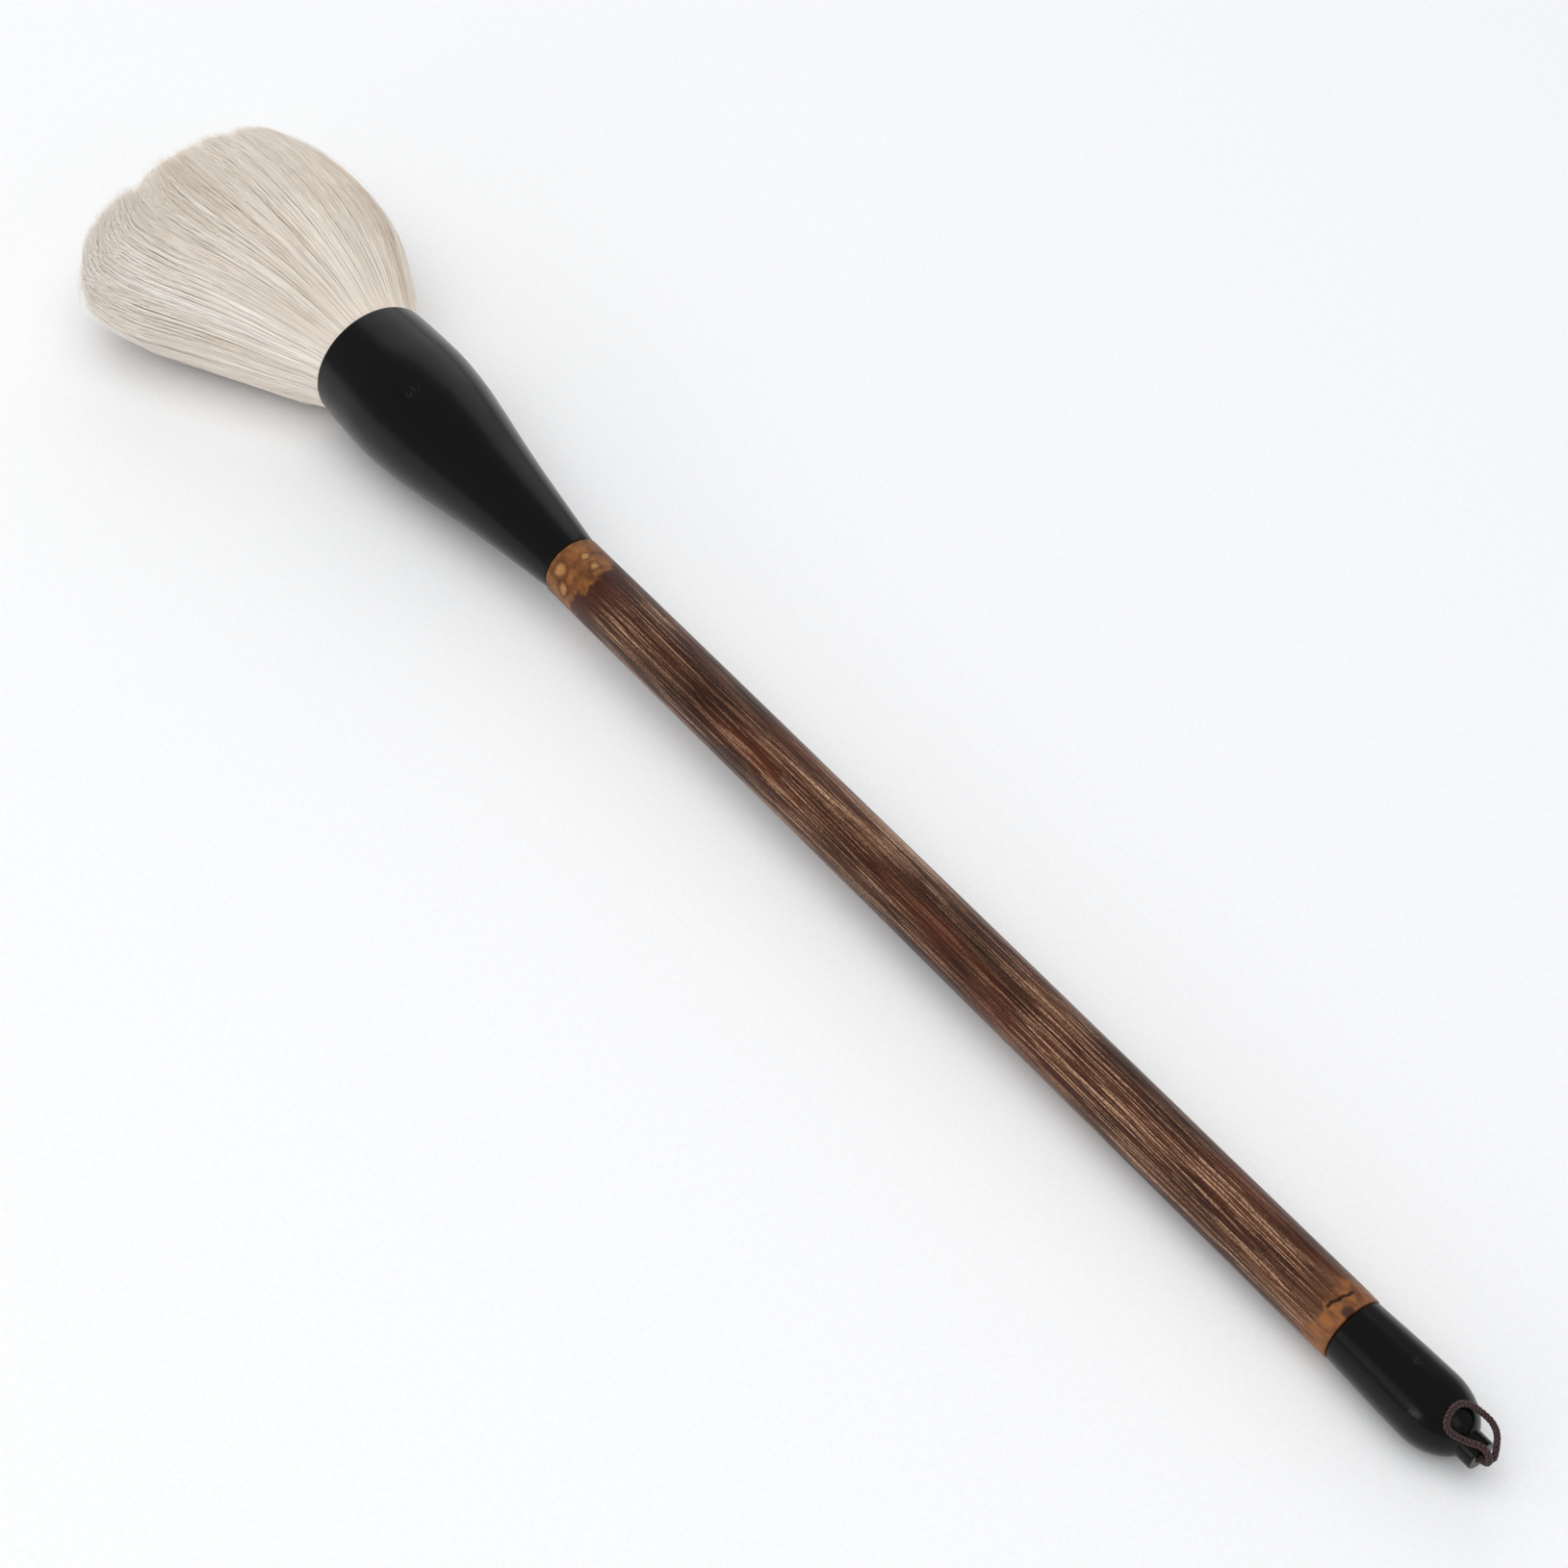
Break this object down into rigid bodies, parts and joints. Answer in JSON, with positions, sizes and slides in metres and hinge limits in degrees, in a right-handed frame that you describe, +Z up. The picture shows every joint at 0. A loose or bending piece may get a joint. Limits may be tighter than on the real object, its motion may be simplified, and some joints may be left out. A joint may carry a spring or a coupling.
{
  "type": "calligraphy brush",
  "caption": "Large calligraphy brush lying down: bamboo handle, black flared ferrule, wide fanned hair head, black end cap and a short hanging cord loop.",
  "frame": {"origin": "bottom centre of the bounding box, the hanging cord left out: the middle of the brush on the surface it lies on", "axes": "+X runs along the brush from the hair's tips to the end cap, +Z is up, away from the surface it lies on"},
  "size_m": [0.454, 0.0722, 0.0406],
  "materials": {
    "stained_bamboo": "satin",
    "black_ferrule": "polished",
    "goat_hair": "soft",
    "dowel_wood": "matte",
    "root_resin": "glossy",
    "binding_thread": "matte",
    "braided_cord": "matte"
  },
  "bodies": {
    "brush": {"bamboo_handle": "stained_bamboo", "ferrule": "black_ferrule", "end_cap": "black_ferrule", "front_dowel": "dowel_wood", "rear_dowel": "dowel_wood", "root_resin": "root_resin", "root_binding": "binding_thread", "core_hair": "goat_hair", "outer_hair": "goat_hair"},
    "cord_end": {"cord_knot": "braided_cord"},
    "loop": {"hanging_loop": "braided_cord"}
  },
  "joints": [
    {"name": "cord_twist", "type": "hinge", "parent": "brush", "child": "cord_end", "pos_m": [0.22555, 0.00441, 0.00761], "axis": [0.9997, 0, -0.0239], "range_deg": [-90, 90]},
    {"name": "loop_swing", "type": "hinge", "parent": "cord_end", "child": "loop", "pos_m": [0.22685, 0.00441, 0.00758], "axis": [0, 1, 0], "range_deg": [0, 137]}
  ]
}
